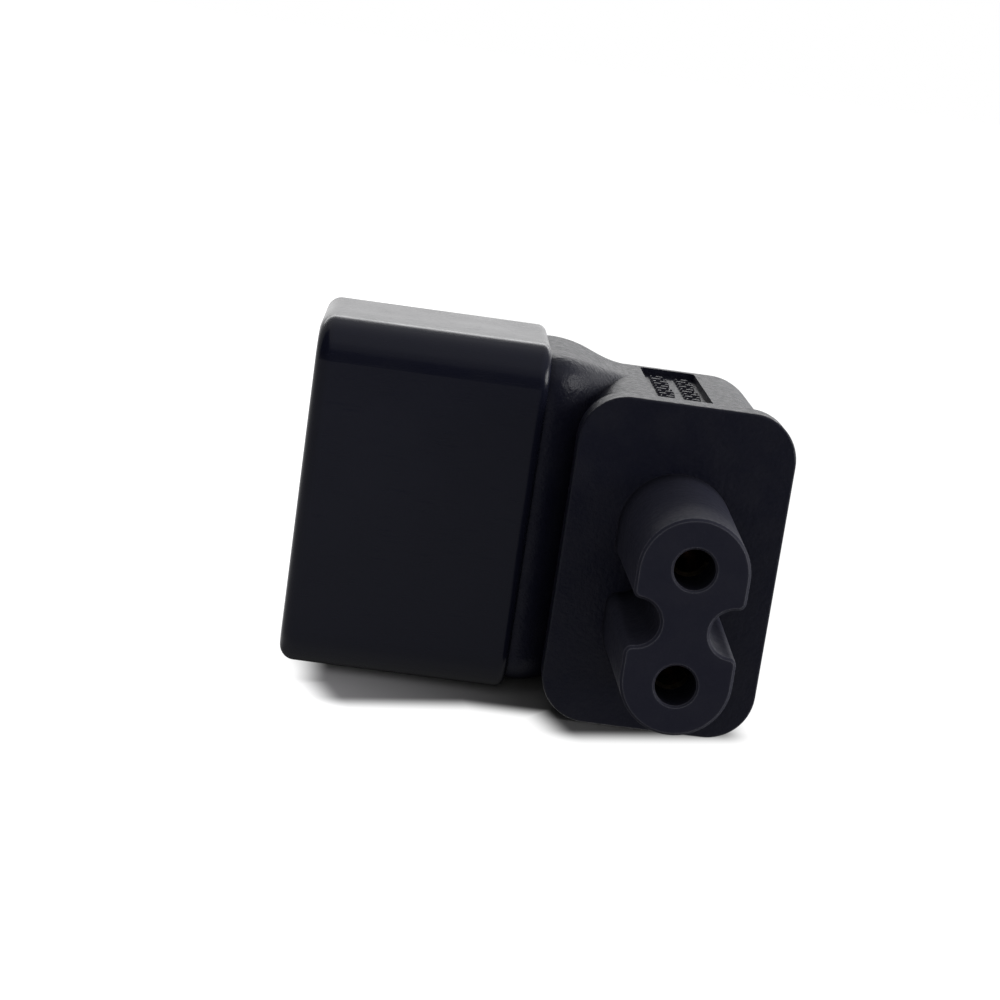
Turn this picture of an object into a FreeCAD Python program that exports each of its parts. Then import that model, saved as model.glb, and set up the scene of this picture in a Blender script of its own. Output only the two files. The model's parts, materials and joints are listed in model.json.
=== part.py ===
"""Right-angle mains adapter with a three-pin inlet and a figure-eight nose.

Units are millimetres. The inlet's mouth faces -X, the nose points along -Y, and the
adapter stands on Z = 0 with the origin under the middle of its bounding box.
"""

import FreeCAD
import Part

import math
import os

Vector = FreeCAD.Vector

# Inlet shroud
mouth_depth = 15.7
base_thickness = 2.5
cavity_height = 24.5
cavity_depth = 16.8
cavity_chamfer = 5.6
shroud_wall = 1.8
shroud_front_radius = 3.2
shroud_edge_round = 0.8
rim_round = 1.2
rim_lead_in = 0.4
back_edge_round = 0.8

# Spigot behind the inlet's base, which the overmould grips
spigot_length = 2.2
spigot_inset = 4.4
lock_lip_length = 0.8
lock_lip_height = 0.8

# Inlet pins
pin_thickness = 2.0
pin_width = 4.0
pin_reach = 14.2
pin_spacing = 14.0
pin_row_offset = 2.0
pin_tip_chamfer = 0.7

# Crimp barrels and wires
barrel_length = 3.4
barrel_wall = 0.4
conductor_radius = 0.55
insulation_radius = 1.15
strip_clearance = 0.5
conductor_end_clearance = 0.3
wire_bend_radius = 3.0
wire_corner_before_axis = 2.6
wire_corner_drop = 2.5

# Figure-eight nose
nose_length = 13.5
nose_axis_height = 12.25
nose_draft = 0.3
nose_edge_bevel = 0.2
lobe_radius = 4.05
lobe_centre = 3.98
notch_radius = 1.75
notch_centre = 3.55
notch_corner_radius = 0.6
hole_radius = 1.5
hole_spacing = 8.6
hole_lip = 4.0
hole_countersink = 0.15
nose_root = 1.6
anchor_thickness = 2.0
anchor_width = 11.0
anchor_height = 20.0
anchor_corner_radius = 3.0

# Socket contacts
sleeve_length = 9.8
sleeve_inner_radius = 1.25
sleeve_wall = 0.45
sleeve_flare = 0.25
sleeve_slit = 0.5
sleeve_solid_end = 1.5
contact_taper = 1.5

# Moulded body
flange_width = 16.75
flange_height = 25.95
flange_thickness = 2.5
flange_corner_radius = 3.7
flange_front_round = 0.2
flange_back_round = 0.3
flange_overhang = 0.5
block_depth = 21.3
block_corner_radius = 4.3
block_back_round = 1.6
shroud_setback = 3.9
neck_gap = 2.45
neck_inset = 0.8
neck_straight = 0.9
neck_sink = 0.03
neck_front_rise = 6.9
neck_sections = 4

# Label pocket in the top of the block
pocket_width = 4.6
pocket_length = 14.8
pocket_depth = 0.6
pocket_back_margin = 2.1
pocket_shift = 0.2
pocket_corner_radius = 0.4

# Sizes that follow
shroud_length = mouth_depth + base_thickness
shroud_height = cavity_height + 2 * shroud_wall
shroud_depth = cavity_depth + 2 * shroud_wall
offset_leg = 2 - math.sqrt(2)
shroud_chamfer = cavity_chamfer + offset_leg * shroud_wall
barrel_radius = conductor_radius + barrel_wall
sleeve_radius = sleeve_inner_radius + sleeve_wall

# Places that follow
overall_length = shroud_length + neck_gap + flange_width
overall_depth = nose_length + shroud_setback + shroud_depth
mouth_x = -overall_length / 2
base_x = mouth_x + mouth_depth
base_back_x = mouth_x + shroud_length
spigot_end_x = base_back_x + spigot_length
flange_left_x = base_back_x + neck_gap
nose_x = flange_left_x + flange_width / 2
nose_front_y = -overall_depth / 2
flange_y = nose_front_y + nose_length
block_back_y = flange_y + block_depth
shroud_front_y = flange_y + shroud_setback
shroud_back_y = shroud_front_y + shroud_depth
shroud_middle_y = shroud_front_y + shroud_depth / 2
shroud_middle_z = shroud_height / 2
block_top_z = flange_height - flange_overhang
live_pin_y = shroud_middle_y - pin_row_offset
earth_pin_y = shroud_middle_y + pin_row_offset
sleeve_start_y = nose_front_y + hole_lip
sleeve_end_y = sleeve_start_y + sleeve_length
contact_barrel_y = sleeve_end_y + contact_taper
contact_end_y = contact_barrel_y + barrel_length
anchor_y = flange_y + nose_root
anchor_end_y = anchor_y + anchor_thickness


def line(start, end):
    return Part.LineSegment(start, end).toShape()


def arc(start, middle, end):
    return Part.Arc(start, middle, end).toShape()


def edges_on_plane(shape, axis, value):
    """Edges of the shape that lie in the plane where the named coordinate has this value."""
    found = []
    for edge in shape.Edges:
        box = edge.BoundBox
        low = getattr(box, axis + "Min")
        high = getattr(box, axis + "Max")
        if abs(low - value) < 1e-4 and abs(high - value) < 1e-4:
            found.append(edge)
    return found


def rounded_plate(width, height, radius, thickness, corner):
    """A plate with four round corners, upright in the XZ plane and thick along +Y."""
    plate = Part.makeBox(width, thickness, height, Vector(*corner))
    upright = [edge for edge in plate.Edges if edge.BoundBox.YLength > thickness / 2]
    return plate.makeFillet(radius, upright)


def section_wire(x, front, back, bottom, top, front_radius, back_cut, back_roundness):
    """A closed outline across X with two round front corners and two cut back corners.

    The cut is flat where its roundness is 0 and swells to a tangent round where that is 1.
    """
    bulge = front_radius * (1 - math.sqrt(0.5))

    def at(y, z):
        return Vector(x, y, z)

    def back_corner(start, corner, end):
        if back_roundness == 0:
            return line(start, end)
        chord = (start + end) / 2
        return arc(start, chord + (corner - chord) * (math.sqrt(2) - 1) * back_roundness, end)

    return Part.Wire([
        line(at(front + front_radius, bottom), at(back - back_cut, bottom)),
        back_corner(at(back - back_cut, bottom), at(back, bottom), at(back, bottom + back_cut)),
        line(at(back, bottom + back_cut), at(back, top - back_cut)),
        back_corner(at(back, top - back_cut), at(back, top), at(back - back_cut, top)),
        line(at(back - back_cut, top), at(front + front_radius, top)),
        arc(at(front + front_radius, top), at(front + bulge, top - bulge), at(front, top - front_radius)),
        line(at(front, top - front_radius), at(front, bottom + front_radius)),
        arc(at(front, bottom + front_radius), at(front + bulge, bottom + bulge), at(front + front_radius, bottom)),
    ])


def shroud_wire(x, inset):
    """The shroud's outline, drawn in by the inset all round."""
    return section_wire(
        x,
        shroud_front_y + inset,
        shroud_back_y - inset,
        inset,
        shroud_height - inset,
        max(shroud_front_radius - inset, 0.3),
        shroud_chamfer - offset_leg * inset,
        0,
    )


def prism_along_x(wire, length):
    return Part.Face(wire).extrude(Vector(length, 0, 0))


def make_shroud(pins):
    shell = prism_along_x(shroud_wire(mouth_x, 0), shroud_length)
    lengthwise = []
    for edge in shell.Edges:
        runs_along_x = edge.BoundBox.XLength > shroud_length / 2
        behind = edge.BoundBox.YMin > shroud_middle_y
        if runs_along_x and behind:
            lengthwise.append(edge)
    shell = shell.makeFillet(shroud_edge_round, lengthwise)
    shell = shell.makeFillet(rim_round, edges_on_plane(shell, "X", mouth_x))
    shell = shell.makeFillet(back_edge_round, edges_on_plane(shell, "X", base_back_x))

    cavity = prism_along_x(shroud_wire(mouth_x, shroud_wall), mouth_depth)
    lead_in = Part.makeLoft(
        [shroud_wire(mouth_x, shroud_wall - rim_lead_in), shroud_wire(mouth_x + rim_lead_in, shroud_wall)],
        True,
        True,
    )
    spigot = prism_along_x(shroud_wire(base_back_x, spigot_inset), spigot_length)
    lip = prism_along_x(
        shroud_wire(spigot_end_x - lock_lip_length, spigot_inset - lock_lip_height), lock_lip_length
    )
    shroud = shell.cut(cavity).cut(lead_in).fuse([spigot, lip]).removeSplitter()
    return shroud.cut(pins)


def make_pin(y, z, has_barrel):
    """A flat blade through the base and the spigot, with a crimp barrel where a wire joins it."""
    tip_x = base_x - pin_reach
    corner = Vector(tip_x, y - pin_width / 2, z - pin_thickness / 2)
    pin = Part.makeBox(spigot_end_x - tip_x, pin_width, pin_thickness, corner)
    pin = pin.makeChamfer(pin_tip_chamfer, edges_on_plane(pin, "X", tip_x))
    if has_barrel:
        start = Vector(spigot_end_x, y, z)
        tube = Part.makeCylinder(barrel_radius, barrel_length, start, Vector(1, 0, 0))
        bore = Part.makeCylinder(conductor_radius, barrel_length, start, Vector(1, 0, 0))
        pin = pin.fuse(tube.cut(bore))
    return pin


def nose_wire(y, grow):
    """The figure-eight outline in the plane of this Y, grown outwards all round."""
    side = lobe_radius + grow
    corner = notch_corner_radius + grow
    notch = notch_radius - grow
    corner_x = lobe_radius - notch_corner_radius
    corner_z = math.sqrt((notch_radius + notch_corner_radius) ** 2 - (corner_x - notch_centre) ** 2)
    lean = math.atan2(corner_z, corner_x - notch_centre)
    meet_x = notch_centre + notch * math.cos(lean)
    meet_z = notch * math.sin(lean)
    turn = (lean - math.pi) / 2
    mid_x = corner_x + corner * math.cos(turn)
    mid_z = corner_z + corner * math.sin(turn)

    def at(x, z):
        return Vector(nose_x + x, y, nose_axis_height + z)

    def half(s):
        """The right side of the outline for s = 1 going down, the left side for s = -1 going up."""
        return [
            arc(at(-s * side, s * lobe_centre), at(0, s * (lobe_centre + side)), at(s * side, s * lobe_centre)),
            line(at(s * side, s * lobe_centre), at(s * side, s * corner_z)),
            arc(at(s * side, s * corner_z), at(s * mid_x, s * mid_z), at(s * meet_x, s * meet_z)),
            arc(at(s * meet_x, s * meet_z), at(s * (notch_centre - notch), 0), at(s * meet_x, -s * meet_z)),
            arc(at(s * meet_x, -s * meet_z), at(s * mid_x, -s * mid_z), at(s * side, -s * corner_z)),
            line(at(s * side, -s * corner_z), at(s * side, -s * lobe_centre)),
        ]

    return Part.Wire(half(1) + half(-1))


def contact_height(side):
    return nose_axis_height + side * hole_spacing / 2


def make_nose():
    outlines = [
        nose_wire(nose_front_y, -nose_edge_bevel),
        nose_wire(nose_front_y + nose_edge_bevel, 0),
        nose_wire(flange_y, nose_draft),
    ]
    nose = Part.makeLoft(outlines, True, True)
    root = Part.Face(nose_wire(flange_y, nose_draft)).extrude(Vector(0, nose_root, 0))
    anchor_corner = (nose_x - anchor_width / 2, anchor_y, nose_axis_height - anchor_height / 2)
    anchor = rounded_plate(anchor_width, anchor_height, anchor_corner_radius, anchor_thickness, anchor_corner)
    nose = nose.fuse([root, anchor]).removeSplitter()
    along = Vector(0, 1, 0)
    for side in (1, -1):
        z = contact_height(side)
        mouth = Vector(nose_x, nose_front_y, z)
        hole = Part.makeCylinder(hole_radius, hole_lip, mouth, along)
        sink = Part.makeCone(hole_radius + hole_countersink, hole_radius, hole_countersink, mouth, along)
        seat_length = anchor_end_y - sleeve_start_y
        seat = Part.makeCylinder(sleeve_radius, seat_length, Vector(nose_x, sleeve_start_y, z), along)
        nose = nose.cut([hole, sink, seat])
    return nose


def make_contact(side):
    """A rolled sleeve with a slit, tapering to the barrel that is crimped on the conductor."""
    z = contact_height(side)

    def at(radius, y):
        return Vector(nose_x + radius, y, z)

    profile = [
        at(sleeve_inner_radius + sleeve_flare, sleeve_start_y),
        at(sleeve_inner_radius, sleeve_start_y + sleeve_flare),
        at(sleeve_inner_radius, sleeve_end_y),
        at(conductor_radius, contact_barrel_y),
        at(conductor_radius, contact_end_y),
        at(barrel_radius, contact_end_y),
        at(barrel_radius, contact_barrel_y),
        at(sleeve_radius, sleeve_end_y),
        at(sleeve_radius, sleeve_start_y),
    ]
    outline = Part.makePolygon(profile + profile[:1])
    turned = Part.Face(outline).revolve(Vector(nose_x, 0, z), Vector(0, 1, 0), 360)
    slit_corner = Vector(nose_x, sleeve_start_y, z - sleeve_slit / 2)
    slit = Part.makeBox(sleeve_radius, sleeve_length - sleeve_solid_end, sleeve_slit, slit_corner)
    return turned.cut(slit)


def bent_path(points):
    """Straight runs through the points, joined by tangent arcs of the wire's bend radius."""
    edges = []
    start = points[0]
    for before, corner, after in zip(points, points[1:], points[2:]):
        way_in = (corner - before).normalize()
        way_out = (after - corner).normalize()
        turn = way_in.getAngle(way_out)
        reach = wire_bend_radius * math.tan(turn / 2)
        arc_start = corner - way_in * reach
        arc_end = corner + way_out * reach
        inward = (way_out - way_in).normalize()
        centre = corner + inward * (wire_bend_radius / math.cos(turn / 2))
        edges.append(line(start, arc_start))
        edges.append(arc(arc_start, centre - inward * wire_bend_radius, arc_end))
        start = arc_end
    edges.append(line(start, points[-1]))
    return Part.Wire(edges)


def tube_along(points, radius):
    way = (points[1] - points[0]).normalize()
    ring = Part.Wire([Part.makeCircle(radius, points[0], way)])
    return bent_path(points).makePipeShell([ring], True, True)


def wire_points(side, start_x, end_y):
    pin_z = shroud_middle_z + side * pin_spacing / 2
    contact_z = contact_height(side)
    return [
        Vector(start_x, live_pin_y, pin_z),
        Vector(nose_x - wire_corner_before_axis, live_pin_y, pin_z),
        Vector(nose_x, live_pin_y - wire_corner_drop, contact_z),
        Vector(nose_x, end_y, contact_z),
    ]


def make_conductor(side):
    start_x = spigot_end_x + conductor_end_clearance
    end_y = contact_barrel_y + conductor_end_clearance
    return tube_along(wire_points(side, start_x, end_y), conductor_radius)


def make_insulation(side):
    start_x = spigot_end_x + barrel_length + strip_clearance
    end_y = contact_end_y + strip_clearance
    points = wire_points(side, start_x, end_y)
    return tube_along(points, insulation_radius).cut(tube_along(points, conductor_radius))


def make_neck():
    """A loft from just inside the shroud's outline down to the block, eased at both ends.

    Its front draws back on the way, and it runs out where the block's left corners end.
    """
    start_x = base_back_x + neck_straight
    run = flange_left_x + flange_overhang + block_corner_radius - start_x
    front_y = shroud_front_y + neck_inset
    wires = [shroud_wire(base_back_x, neck_inset)]
    for step in range(neck_sections + 1):
        share = step / neck_sections
        ease = share * share * (3 - 2 * share)

        def between(first, last):
            return first + (last - first) * ease

        wires.append(section_wire(
            start_x + run * share,
            front_y + neck_front_rise * ease,
            between(shroud_back_y - neck_inset, block_back_y - neck_sink),
            between(neck_inset, flange_overhang + neck_sink),
            between(shroud_height - neck_inset, block_top_z - neck_sink),
            shroud_front_radius - neck_inset,
            between(shroud_chamfer - offset_leg * neck_inset, block_back_round),
            ease,
        ))
    return Part.makeLoft(wires, True, False)


def make_pocket():
    pocket = Part.makeBox(
        pocket_width,
        pocket_length,
        pocket_depth,
        Vector(
            nose_x - pocket_shift - pocket_width / 2,
            block_back_y - pocket_back_margin - pocket_length,
            block_top_z - pocket_depth,
        ),
    )
    upright = [edge for edge in pocket.Edges if edge.BoundBox.ZLength > pocket_depth / 2]
    return pocket.makeFillet(pocket_corner_radius, upright)


def make_overmould(inner_pieces):
    flange = rounded_plate(
        flange_width, flange_height, flange_corner_radius, flange_thickness, (flange_left_x, flange_y, 0)
    )
    flange = flange.makeFillet(flange_front_round, edges_on_plane(flange, "Y", flange_y))
    flange = flange.makeFillet(flange_back_round, edges_on_plane(flange, "Y", flange_y + flange_thickness))
    block = rounded_plate(
        flange_width - 2 * flange_overhang,
        flange_height - 2 * flange_overhang,
        block_corner_radius,
        block_depth - flange_thickness,
        (flange_left_x + flange_overhang, flange_y + flange_thickness, flange_overhang),
    )
    block = block.makeFillet(block_back_round, edges_on_plane(block, "Y", block_back_y))
    body = flange.fuse([block, make_neck()]).removeSplitter()
    body = body.cut(make_pocket()).cut(inner_pieces)
    # The hollows inside the sleeves and barrels stay empty, so only the outer body is kept.
    return max(body.Solids, key=lambda solid: solid.Volume)


def main():
    poles = {"line": 1, "neutral": -1}
    pieces = {}
    for pole, side in poles.items():
        pin_z = shroud_middle_z + side * pin_spacing / 2
        pieces[pole + "_pin"] = make_pin(live_pin_y, pin_z, True)
        pieces[pole + "_contact"] = make_contact(side)
        pieces[pole + "_conductor"] = make_conductor(side)
        pieces[pole + "_insulation"] = make_insulation(side)
    pieces["earth_pin"] = make_pin(earth_pin_y, shroud_middle_z, False)
    pins = [pieces[name] for name in ("line_pin", "neutral_pin", "earth_pin")]
    pieces["inlet_shroud"] = make_shroud(pins)
    pieces["socket_nose"] = make_nose()
    pieces["overmould"] = make_overmould(list(pieces.values()))

    os.makedirs("parts", exist_ok=True)
    for name, shape in pieces.items():
        shape.exportStep("parts/" + name + ".step")
        print(name, "solids", len(shape.Solids), "valid", shape.isValid(), "volume", round(shape.Volume, 2))


main()
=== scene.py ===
"""Finishes, moulding details, studio and camera for the right-angle adapter.

Lengths are metres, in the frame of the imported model: the inlet's mouth faces -X, the nose
points along -Y, and the adapter stands on Z = 0.
"""

import json
import math

import bmesh
import bpy
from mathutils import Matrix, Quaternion, Vector

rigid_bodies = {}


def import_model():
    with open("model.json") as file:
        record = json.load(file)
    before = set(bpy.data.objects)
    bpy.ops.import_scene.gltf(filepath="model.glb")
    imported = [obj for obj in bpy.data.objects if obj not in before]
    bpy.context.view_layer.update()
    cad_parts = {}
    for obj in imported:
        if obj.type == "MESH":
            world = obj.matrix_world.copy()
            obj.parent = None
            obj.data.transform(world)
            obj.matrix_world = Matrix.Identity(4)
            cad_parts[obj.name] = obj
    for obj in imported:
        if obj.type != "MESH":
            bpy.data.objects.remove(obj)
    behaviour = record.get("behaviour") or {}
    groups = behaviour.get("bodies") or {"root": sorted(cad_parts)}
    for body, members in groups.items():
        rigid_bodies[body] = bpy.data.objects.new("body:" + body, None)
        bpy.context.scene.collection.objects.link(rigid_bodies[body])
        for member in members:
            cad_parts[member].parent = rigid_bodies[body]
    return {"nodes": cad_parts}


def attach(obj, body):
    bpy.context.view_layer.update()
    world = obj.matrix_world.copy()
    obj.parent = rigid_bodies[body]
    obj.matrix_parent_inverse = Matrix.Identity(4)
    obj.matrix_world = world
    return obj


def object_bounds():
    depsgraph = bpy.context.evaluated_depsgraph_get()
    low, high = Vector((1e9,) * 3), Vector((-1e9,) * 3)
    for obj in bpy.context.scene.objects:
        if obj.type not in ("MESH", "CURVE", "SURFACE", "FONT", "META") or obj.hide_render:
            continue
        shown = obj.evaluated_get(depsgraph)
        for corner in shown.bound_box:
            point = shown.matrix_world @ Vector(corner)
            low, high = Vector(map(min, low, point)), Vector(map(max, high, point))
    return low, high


for leftover in list(bpy.data.objects):
    bpy.data.objects.remove(leftover)

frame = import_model()
cad_low, cad_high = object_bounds()

MM = 0.001

# Camera, fitted to the outlines in the photograph
CAMERA_PLACE = Vector((-12.06, -166.5, 52.37)) * MM
CAMERA_AIM = Vector((-2.96, 0.0, 15.54)) * MM
CAMERA_ROLL = math.radians(8.31)
CAMERA_LENS = 78.2
CAMERA_SENSOR = 36.0
CAMERA_CLIP_START = 0.01
CAMERA_CLIP_END = 20.0

# Raised dashes in the label pocket
POCKET_FLOOR = 24.85 * MM
DASH_COLUMNS = (8.5 * MM, 10.6 * MM)
DASH_COLUMN_WIDTH = 1.5 * MM
DASH_ROWS = 9
DASH_FIRST_Y = 2.6 * MM
DASH_PITCH = 1.15 * MM
DASH_LENGTHS = (0.35 * MM, 0.8 * MM, 0.5 * MM, 1.0 * MM)
DASH_SPACE = 0.12 * MM
DASH_WIDTH = 0.55 * MM
DASH_HEIGHT = 0.25 * MM
DASH_TAPER = 0.13 * MM
DASH_SINK = 0.03 * MM

# Grained plastic: the coarse grain and the speckle are multiples of the fine grain
MOTTLE_SIZE = 2.2 * MM
GLOSS_PATCH_SIZE = 0.5 * MM
SPECKLE_TO_GRAIN = 1.7
COARSE_TO_GRAIN = 3.0
COARSE_TO_DEPTH = 2.5
# Edges are painted lighter, partly as rubbing wear and partly as a painted highlight
EDGE_WEAR_AND_HIGHLIGHT_RADIUS = 0.25 * MM

# How far plastic looks for faces that shut it in, for painted shade that darkens holes and notches
CREVICE_SHADE_REACH = 3.0 * MM

# Polished plastic
CLOUD_SIZE = 4.0 * MM
RUB_SIZE = 0.2 * MM
RUB_STRETCH = (0.12, 1.0, 1.0)
RUB_ROUGHNESS = 0.12
POLISHED_EDGE_RADIUS = 0.3 * MM
RIPPLE_SIZE = 1.2 * MM
RIPPLE_DEPTH = 0.004 * MM
FINE_RIPPLE_SIZE = 0.12 * MM
FINE_RIPPLE_DEPTH = 0.003 * MM

# Drawn metal
DRAW_LINE_SIZE = 0.08 * MM
DRAW_LINE_STRETCH = 0.04
DRAW_LINE_DEPTH = 0.003 * MM
STAIN_SIZE = 1.5 * MM

# Wire insulation
JACKET_CLOUD_SIZE = 0.8 * MM
JACKET_ROUGHNESS = (0.4, 0.55)
JACKET_GRAIN_SIZE = 0.15 * MM
JACKET_GRAIN_DEPTH = 0.004 * MM

# The values between which soft noise mostly lies
NOISE_RANGE = (0.3, 0.7)

# Floor
FLOOR_SIZE = 6.0
FLOOR_DROP = 0.02 * MM
FLOOR_LIFT = 0.98

# The floor's dark paint runs from its left tone to its right tone between two places along X.
# This is painted shadow: the shadow under the object is lighter at the left and darker at the right.
FLOOR_SHADOW_TONES = (0.22, 0.06)
FLOOR_SHADOW_TONE_ENDS = (-15.0 * MM, 1.0 * MM)

# Boxes on the floor that stay unlifted round the contact shadow, each as low and high corner and
# turn.
# They paint the shadow's shape: inside them only the dark paint under the lamps shows, outside the
# floor glows white.
FLOOR_SHADES = (
    ((-14.5 * MM, -3.0 * MM), (16.0 * MM, 16.0 * MM), 0.0),
    ((-14.5 * MM, -1.5 * MM), (3.0 * MM, 2.0 * MM), math.radians(20.0)),
    ((2.0 * MM, -8.5 * MM), (14.0 * MM, 0.0 * MM), math.radians(20.0)),
)
FLOOR_SHADE_REACH = 3.5 * MM

# The box under the object that stays unlifted for mirrored rays
FLOOR_FOOTPRINT = ((-19.0 * MM, 1.0 * MM), (19.0 * MM, 19.0 * MM), 0.0)

# Upright dark panels, each as two opposite corners
FRONT_FLAG = ((-0.6, -0.22, 0.0), (0.6, -0.22, 0.125))
LEFT_FLAG = ((-0.25, -0.7, 0.0), (-0.25, 0.02, 0.42))
FLAG_COLOUR = (0.02, 0.02, 0.02, 1.0)

# Light from the dome, and the white that is seen in its place
DOME_TINT = (0.97, 0.95, 1.0, 1.0)
DOME_STRENGTH = 1.0
WHITE = (1.0, 1.0, 1.0, 1.0)


def add_node(tree, kind, **settings):
    """A new shader node of this kind with these settings."""
    node = tree.nodes.new("ShaderNode" + kind)
    for key, value in settings.items():
        setattr(node, key, value)
    return node


def add_math(tree, operation, first, second):
    """One step of arithmetic on two sockets."""
    step = add_node(tree, "Math", operation=operation)
    tree.links.new(first, step.inputs[0])
    tree.links.new(second, step.inputs[1])
    return step.outputs["Value"]


def add_range(tree, value, source, target, interpolation="LINEAR"):
    """A value between the two source numbers, spread between the two target numbers."""
    node = add_node(tree, "MapRange", interpolation_type=interpolation)
    node.inputs["From Min"].default_value, node.inputs["From Max"].default_value = source
    node.inputs["To Min"].default_value, node.inputs["To Max"].default_value = target
    tree.links.new(value, node.inputs["Value"])
    return node.outputs["Result"]


class Shader:
    """A node material with short ways to add textures, ranges and bump."""

    def __init__(self, name):
        self.material = bpy.data.materials.new(name)
        self.material.use_nodes = True
        self.tree = self.material.node_tree
        self.surface = self.tree.nodes["Principled BSDF"]
        self.place = self.add("TexCoord").outputs["Object"]

    def add(self, kind, **settings):
        return add_node(self.tree, kind, **settings)

    def link(self, source, target):
        self.tree.links.new(source, target)

    def feed(self, name, source):
        """Drive one of the surface shader's inputs with a socket."""
        self.link(source, self.surface.inputs[name])

    def set(self, name, value):
        """A constant value, straight on the surface shader's own socket."""
        self.surface.inputs[name].default_value = value

    def stretched(self, scale):
        """The object's coordinates, multiplied along each axis."""
        mapping = self.add("Mapping")
        mapping.inputs["Scale"].default_value = scale
        self.link(self.place, mapping.inputs["Vector"])
        return mapping.outputs["Vector"]

    def noise(self, size, detail=2.0, place=None):
        """Soft noise with marks of about this size."""
        node = self.add("TexNoise")
        node.inputs["Scale"].default_value = 1.0 / size
        node.inputs["Detail"].default_value = detail
        self.link(place or self.place, node.inputs["Vector"])
        return node.outputs["Fac"]

    def span(self, value, source, target):
        return add_range(self.tree, value, source, target)

    def blend(self, share, first, second):
        """A colour between two, each a socket or a plain colour."""
        node = self.add("Mix", data_type="RGBA")
        self.link(share, node.inputs["Factor"])
        for name, colour in (("A", first), ("B", second)):
            socket = next(s for s in node.inputs if s.name == name and s.type == "RGBA")
            if isinstance(colour, tuple):
                socket.default_value = colour
            else:
                self.link(colour, socket)
        return next(s for s in node.outputs if s.type == "RGBA")

    def edge_share(self, radius):
        """1 on edges that are sharper than the radius, 0 on open faces."""
        bevel = self.add("Bevel", samples=6)
        bevel.inputs["Radius"].default_value = radius
        facing = self.add("VectorMath", operation="DOT_PRODUCT")
        self.link(bevel.outputs["Normal"], facing.inputs[0])
        self.link(self.add("NewGeometry").outputs["Normal"], facing.inputs[1])
        return self.span(facing.outputs["Value"], (0.97, 0.78), (0.0, 1.0))

    def open_share(self, reach):
        """0 deep in holes and corners that are narrower than the reach, 1 on open faces."""
        hidden = self.add("AmbientOcclusion", samples=8)
        hidden.inputs["Distance"].default_value = reach
        return self.span(hidden.outputs["AO"], (0.3, 0.92), (0.0, 1.0))

    def bump(self, layers):
        """Bump from several heights, each with its depth in metres, coarse ones first."""
        normal = None
        for height, depth in layers:
            node = self.add("Bump")
            node.inputs["Distance"].default_value = depth
            self.link(height, node.inputs["Height"])
            if normal:
                self.link(normal, node.inputs["Normal"])
            normal = node.outputs["Normal"]
        self.feed("Normal", normal)


def grained_plastic(name, colour, lifted, edge, roughness, grain, depth, specular, crevice_shade=None):
    """Moulded plastic with a spark-eroded grain, and edges painted lighter: partly rubbing wear,
    partly a painted highlight.

    Where a crevice shade colour is given, holes and notches are darkened to it: painted shade for the
    shade that falls in them.
    """
    shader = Shader(name)
    mottle = shader.noise(MOTTLE_SIZE, detail=4.0)
    speckle = shader.noise(grain * SPECKLE_TO_GRAIN, detail=3.0)
    tone = shader.blend(shader.span(mottle, (0.35, 0.65), (0.0, 0.35)), colour, lifted)
    tone = shader.blend(shader.span(speckle, (0.62, 0.8), (0.0, 0.6)), tone, lifted)
    # Edges painted lighter: partly wear, partly a painted highlight
    tone = shader.blend(shader.edge_share(EDGE_WEAR_AND_HIGHLIGHT_RADIUS), tone, edge)
    # Painted shade: faces shut in by nearby faces are darkened towards the crevice shade colour
    if crevice_shade:
        tone = shader.blend(shader.open_share(CREVICE_SHADE_REACH), crevice_shade, tone)
    shader.feed("Base Color", tone)
    patches = shader.noise(GLOSS_PATCH_SIZE, detail=3.0)
    shader.feed("Roughness", shader.span(patches, NOISE_RANGE, roughness))
    shader.set("Specular IOR Level", specular)
    shader.bump([
        (shader.noise(grain * COARSE_TO_GRAIN, detail=2.0), depth * COARSE_TO_DEPTH),
        (shader.noise(grain, detail=3.0), depth),
    ])
    return shader.material


def polished_plastic(name, colour, lifted, roughness, specular):
    """Smooth glossy plastic with a faint ripple, cloudy gloss, fine rub marks and edges painted
    lighter, partly as wear and partly as a painted highlight.
    """
    shader = Shader(name)
    cloud = shader.noise(CLOUD_SIZE, detail=4.0)
    rubs = shader.noise(RUB_SIZE, detail=3.0, place=shader.stretched(RUB_STRETCH))
    tone = shader.blend(shader.span(cloud, (0.35, 0.7), (0.0, 0.4)), colour, lifted)
    # Edges painted lighter: partly wear, partly a painted highlight
    tone = shader.blend(shader.edge_share(POLISHED_EDGE_RADIUS), tone, lifted)
    shader.feed("Base Color", tone)
    gloss = shader.span(cloud, NOISE_RANGE, roughness)
    rubbed = shader.span(rubs, (0.6, 0.75), (0.0, RUB_ROUGHNESS))
    shader.feed("Roughness", add_math(shader.tree, "ADD", gloss, rubbed))
    shader.set("Specular IOR Level", specular)
    shader.bump([
        (shader.noise(RIPPLE_SIZE, detail=1.0), RIPPLE_DEPTH),
        (shader.noise(FINE_RIPPLE_SIZE, detail=2.0), FINE_RIPPLE_DEPTH),
    ])
    return shader.material


def drawn_metal(name, colour, tarnish, roughness, along):
    """Metal with fine draw lines along one axis and a little tarnish."""
    shader = Shader(name)
    scale = tuple(DRAW_LINE_STRETCH if axis == along else 1.0 for axis in "XYZ")
    lines = shader.noise(DRAW_LINE_SIZE, detail=3.0, place=shader.stretched(scale))
    stain = shader.noise(STAIN_SIZE, detail=4.0)
    tone = shader.blend(shader.span(stain, (0.45, 0.75), (0.0, 0.8)), colour, tarnish)
    shader.feed("Base Color", tone)
    shader.feed("Roughness", shader.span(lines, NOISE_RANGE, roughness))
    shader.set("Metallic", 1.0)
    shader.bump([(lines, DRAW_LINE_DEPTH)])
    return shader.material


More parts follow.
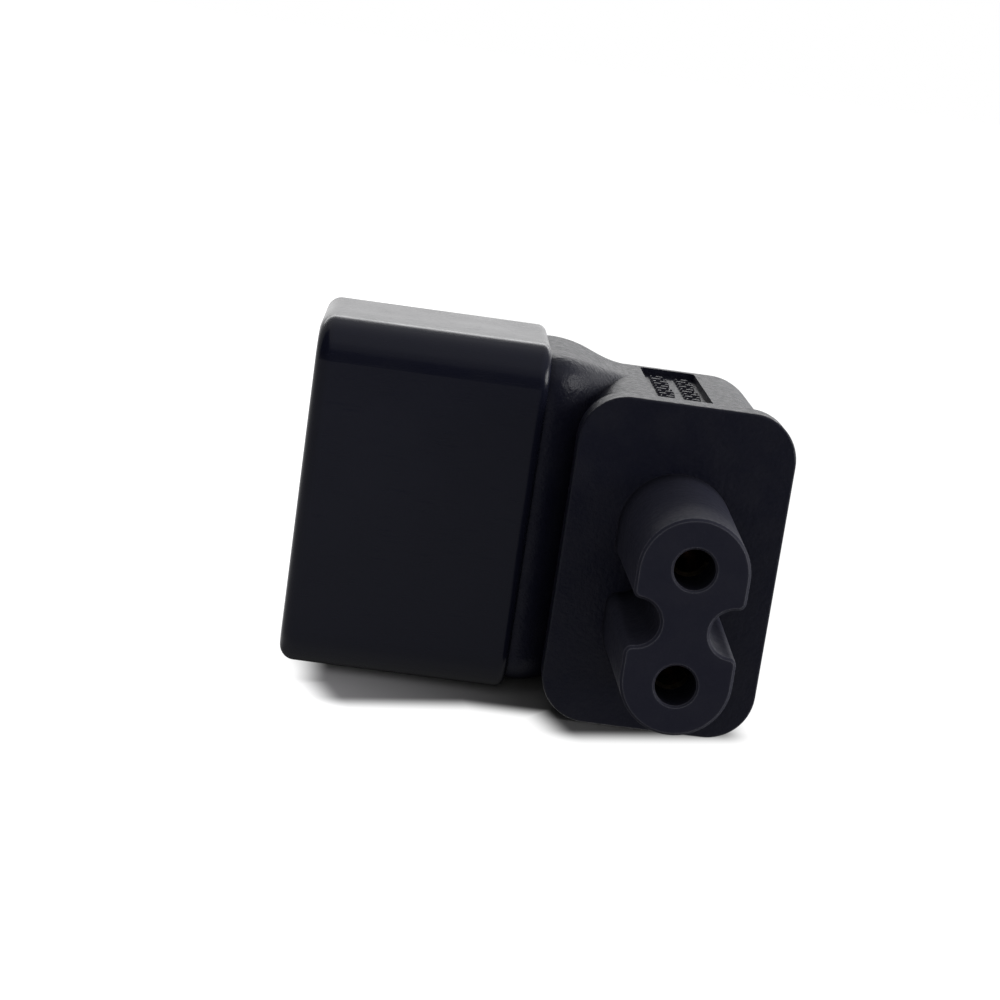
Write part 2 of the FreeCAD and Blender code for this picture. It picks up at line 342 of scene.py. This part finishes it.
def wire_jacket(name, colour, scuffed):
    """Soft insulation with a slight waxy sheen."""
    shader = Shader(name)
    cloud = shader.noise(JACKET_CLOUD_SIZE, detail=3.0)
    tone = shader.blend(shader.span(cloud, (0.4, 0.7), (0.0, 0.6)), colour, scuffed)
    shader.feed("Base Color", tone)
    shader.feed("Roughness", shader.span(cloud, NOISE_RANGE, JACKET_ROUGHNESS))
    shader.bump([(shader.noise(JACKET_GRAIN_SIZE), JACKET_GRAIN_DEPTH)])
    return shader.material


def make_finishes():
    """One material for each of the record's slots."""
    return {
        "body_mould": grained_plastic(
            "body_mould",
            colour=(0.0031, 0.0034, 0.0074, 1.0),
            lifted=(0.0083, 0.0084, 0.0118, 1.0),
            # Lighter edges: partly wear, partly a painted highlight
            edge=(0.0083, 0.0084, 0.0118, 1.0),
            roughness=(0.38, 0.5),
            grain=0.12 * MM,
            depth=0.024 * MM,
            specular=0.08,
        ),
        "shroud_plastic": polished_plastic(
            "shroud_plastic",
            colour=(0.0037, 0.0041, 0.0086, 1.0),
            lifted=(0.0046, 0.0050, 0.0086, 1.0),
            roughness=(0.19, 0.27),
            specular=0.08,
        ),
        "nose_plastic": grained_plastic(
            "nose_plastic",
            colour=(0.0098, 0.0101, 0.0158, 1.0),
            lifted=(0.0147, 0.0149, 0.0202, 1.0),
            # Edge colour far lighter than the nose: mostly a painted highlight along the edges, with
            # some wear
            edge=(0.085, 0.085, 0.095, 1.0),
            roughness=(0.5, 0.62),
            grain=0.14 * MM,
            depth=0.006 * MM,
            specular=0.03,
            # Painted shade in the nose's holes and notches
            crevice_shade=(0.0016, 0.0017, 0.003, 1.0),
        ),
        "plated_pin": drawn_metal(
            "plated_pin",
            colour=(0.64, 0.62, 0.59, 1.0),
            tarnish=(0.46, 0.43, 0.39, 1.0),
            roughness=(0.34, 0.5),
            along="X",
        ),
        "contact_metal": drawn_metal(
            "contact_metal",
            colour=(0.3, 0.25, 0.17, 1.0),
            tarnish=(0.1, 0.08, 0.055, 1.0),
            roughness=(0.3, 0.5),
            along="Y",
        ),
        "copper_wire": drawn_metal(
            "copper_wire",
            colour=(0.8, 0.42, 0.27, 1.0),
            tarnish=(0.5, 0.22, 0.12, 1.0),
            roughness=(0.25, 0.45),
            along="X",
        ),
        "line_jacket": wire_jacket(
            "line_jacket",
            colour=(0.09, 0.035, 0.015, 1.0),
            scuffed=(0.14, 0.06, 0.03, 1.0),
        ),
        "neutral_jacket": wire_jacket(
            "neutral_jacket",
            colour=(0.02, 0.10, 0.32, 1.0),
            scuffed=(0.04, 0.16, 0.42, 1.0),
        ),
    }


def dress_nodes(finishes):
    """Each CAD node gets the finish of the slot that it was packed with."""
    for node in frame["nodes"].values():
        for index, packed in enumerate(node.data.materials):
            node.data.materials[index] = finishes[packed.name.split(".")[0]]


def add_object(name, data):
    """A new object with this data, linked to the scene."""
    thing = bpy.data.objects.new(name, data)
    bpy.context.scene.collection.objects.link(thing)
    return thing


def add_dash(bm, low, high, taper):
    """A raised dash with sloping sides on the pocket's floor."""
    x0, y0, z0 = low
    x1, y1, z1 = high
    base = [bm.verts.new(co) for co in ((x0, y0, z0), (x1, y0, z0), (x1, y1, z0), (x0, y1, z0))]
    top = [
        bm.verts.new(co)
        for co in (
            (x0 + taper, y0 + taper, z1),
            (x1 - taper, y0 + taper, z1),
            (x1 - taper, y1 - taper, z1),
            (x0 + taper, y1 - taper, z1),
        )
    ]
    bm.faces.new(top)
    bm.faces.new(reversed(base))
    for k in range(4):
        n = (k + 1) % 4
        bm.faces.new((base[k], base[n], top[n], top[k]))


def make_pocket_dashes(finish):
    """Two columns of plain raised dashes in the label pocket, in place of lettering."""
    bm = bmesh.new()
    for column_x in DASH_COLUMNS:
        for row in range(DASH_ROWS):
            y = DASH_FIRST_Y + row * DASH_PITCH
            x = column_x
            end = column_x + DASH_COLUMN_WIDTH
            step = row
            while x < end - DASH_LENGTHS[0]:
                length = min(DASH_LENGTHS[step % len(DASH_LENGTHS)], end - x)
                low = (x, y, POCKET_FLOOR - DASH_SINK)
                high = (x + length, y + DASH_WIDTH, POCKET_FLOOR + DASH_HEIGHT)
                add_dash(bm, low, high, DASH_TAPER)
                x += length + DASH_SPACE
                step += 1
    mesh = bpy.data.meshes.new("pocket_dashes")
    bm.to_mesh(mesh)
    bm.free()
    mesh.materials.append(finish)
    dashes = add_object("pocket_dashes", mesh)
    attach(dashes, "root")


def add_seen(tree):
    """Two sockets: 1 for rays from the camera, and 1 for mirrored and transmitted rays."""
    path = add_node(tree, "LightPath")
    mirrored = add_math(
        tree, "MAXIMUM", path.outputs["Is Glossy Ray"], path.outputs["Is Transmission Ray"]
    )
    return path.outputs["Is Camera Ray"], mirrored


def add_vector_step(tree, operation, source, value=None):
    """One step of vector arithmetic on a socket, with a constant where it takes one."""
    step = add_node(tree, "VectorMath", operation=operation)
    tree.links.new(source, step.inputs[0])
    if value:
        step.inputs[1].default_value = value
    return step.outputs["Value" if operation == "LENGTH" else "Vector"]


def box_distance(tree, place, low, high, turn):
    """How far a place on the floor lies outside a box that is turned about the middle."""
    (x0, y0), (x1, y1) = low, high
    turned = add_node(tree, "Mapping")
    turned.inputs["Rotation"].default_value = (0.0, 0.0, -turn)
    tree.links.new(place, turned.inputs["Vector"])
    offset = turned.outputs["Vector"]
    offset = add_vector_step(tree, "SUBTRACT", offset, ((x0 + x1) / 2, (y0 + y1) / 2, 0.0))
    offset = add_vector_step(tree, "ABSOLUTE", offset)
    offset = add_vector_step(tree, "SUBTRACT", offset, ((x1 - x0) / 2, (y1 - y0) / 2, 0.0))
    offset = add_vector_step(tree, "MAXIMUM", offset, (0.0, 0.0, 0.0))
    return add_vector_step(tree, "LENGTH", offset)


def add_lift(tree, distance):
    """The floor's own white, from none at a box to full a short way off."""
    return add_range(tree, distance, (0.0, FLOOR_SHADE_REACH), (0.0, FLOOR_LIFT), "SMOOTHSTEP")


def make_floor_material():
    """Dark paint that takes shadows, lifted to white away from the object for seen and mirrored rays.

    Painted shadow: the unlifted boxes give the shadow its shape, and the paint's tone along X makes
    it lighter at the left.
    """
    material = bpy.data.materials.new("floor")
    material.use_nodes = True
    tree = material.node_tree
    tree.nodes.clear()

    place = add_node(tree, "TexCoord").outputs["Object"]
    across = add_node(tree, "SeparateXYZ")
    tree.links.new(place, across.inputs["Vector"])
    tone = add_range(tree, across.outputs["X"], FLOOR_SHADOW_TONE_ENDS, FLOOR_SHADOW_TONES)
    paint = add_node(tree, "BsdfDiffuse")
    tree.links.new(tone, paint.inputs["Color"])

    # Painted shadow: the floor stays dark inside these boxes and glows white outside them
    distances = [box_distance(tree, place, *shade) for shade in FLOOR_SHADES]
    nearest = distances[0]
    for distance in distances[1:]:
        nearest = add_math(tree, "MINIMUM", nearest, distance)
    underneath = box_distance(tree, place, *FLOOR_FOOTPRINT)
    direct, mirrored = add_seen(tree)
    seen = add_math(tree, "MULTIPLY", add_lift(tree, nearest), direct)
    reflected = add_math(tree, "MULTIPLY", add_lift(tree, underneath), mirrored)
    glow = add_node(tree, "Emission")
    tree.links.new(add_math(tree, "MAXIMUM", seen, reflected), glow.inputs["Strength"])

    both = add_node(tree, "AddShader")
    tree.links.new(paint.outputs["BSDF"], both.inputs[0])
    tree.links.new(glow.outputs["Emission"], both.inputs[1])
    output = add_node(tree, "OutputMaterial")
    tree.links.new(both.outputs["Shader"], output.inputs["Surface"])
    return material


def add_panel(name, corners, material):
    """A flat panel with four corners."""
    mesh = bpy.data.meshes.new(name)
    mesh.from_pydata(corners, [], [(0, 1, 2, 3)])
    mesh.materials.append(material)
    return add_object(name, mesh)


def make_floor():
    """A wide floor just under the object."""
    half = FLOOR_SIZE / 2
    corners = [(-half, -half, 0), (half, -half, 0), (half, half, 0), (-half, half, 0)]
    floor = add_panel("floor", corners, make_floor_material())
    floor.location.z = cad_low.z - FLOOR_DROP


def make_flag(name, low, high):
    """A dark panel out of the camera's sight, which shades the object and is mirrored in it."""
    material = bpy.data.materials.new(name)
    material.use_nodes = True
    surface = material.node_tree.nodes["Principled BSDF"]
    surface.inputs["Base Color"].default_value = FLAG_COLOUR
    surface.inputs["Roughness"].default_value = 1.0
    (x0, y0, z0), (x1, y1, z1) = low, high
    flag = add_panel(name, [(x0, y0, z0), (x1, y1, z0), (x1, y1, z1), (x0, y0, z1)], material)
    flag.visible_camera = False


def make_world():
    """An even dome of light all round, in place of which direct and mirrored rays see white."""
    world = bpy.data.worlds.new("studio")
    bpy.context.scene.world = world
    world.use_nodes = True
    tree = world.node_tree
    tree.nodes.clear()
    dome = add_node(tree, "Background")
    dome.inputs["Color"].default_value = DOME_TINT
    dome.inputs["Strength"].default_value = DOME_STRENGTH
    white = add_node(tree, "Background")
    white.inputs["Color"].default_value = WHITE
    choose = add_node(tree, "MixShader")
    tree.links.new(add_math(tree, "MAXIMUM", *add_seen(tree)), choose.inputs["Fac"])
    tree.links.new(dome.outputs["Background"], choose.inputs[1])
    tree.links.new(white.outputs["Background"], choose.inputs[2])
    output = add_node(tree, "OutputWorld")
    tree.links.new(choose.outputs["Shader"], output.inputs["Surface"])


def aim(thing, target):
    """Turn a lamp or camera towards a place."""
    way = Vector(target) - thing.location
    thing.rotation_mode = "QUATERNION"
    thing.rotation_quaternion = way.to_track_quat("-Z", "Y")


def add_softbox(name, place, width, height, brightness, mirrored=True):
    """A rectangular lamp whose face has this brightness, aimed at the middle of the object."""
    lamp = bpy.data.lights.new(name, "AREA")
    lamp.shape = "RECTANGLE"
    lamp.size = width
    lamp.size_y = height
    lamp.energy = brightness * math.pi * width * height
    softbox = add_object(name, lamp)
    softbox.location = place
    softbox.visible_camera = False
    softbox.visible_glossy = mirrored
    aim(softbox, (cad_low + cad_high) / 2)


def make_lights():
    """Soft light from above and behind, a strip for the edges, one side lamp and a front fill."""
    add_softbox("overhead", place=(0.0, -0.08, 0.6), width=0.9, height=0.95, brightness=0.55)
    add_softbox("behind", place=(0.05, 0.6, 0.2), width=1.2, height=0.4, brightness=0.5)
    add_softbox("edge_strip", place=(0.0, 0.6, 0.32), width=1.0, height=0.15, brightness=5.0)
    add_softbox("right", place=(0.53, -0.07, 0.13), width=0.35, height=0.25, brightness=18.0)
    add_softbox(
        "fill", place=(-0.02, -0.21, 0.06), width=0.16, height=0.08, brightness=5.0, mirrored=False
    )


def make_camera():
    """The camera of the photograph, rolled as the object leans there."""
    data = bpy.data.cameras.new("camera")
    data.lens = CAMERA_LENS
    data.sensor_width = CAMERA_SENSOR
    data.clip_start = CAMERA_CLIP_START
    data.clip_end = CAMERA_CLIP_END
    camera = add_object("camera", data)
    camera.location = CAMERA_PLACE
    aim(camera, CAMERA_AIM)
    roll = Quaternion((0.0, 0.0, 1.0), CAMERA_ROLL)
    camera.rotation_quaternion = camera.rotation_quaternion @ roll
    bpy.context.scene.camera = camera


finishes = make_finishes()
dress_nodes(finishes)
make_pocket_dashes(finishes["body_mould"])
make_floor()
make_flag("front_flag", *FRONT_FLAG)
make_flag("left_flag", *LEFT_FLAG)
make_world()
make_lights()
make_camera()
bpy.context.scene.view_settings.view_transform = "Standard"
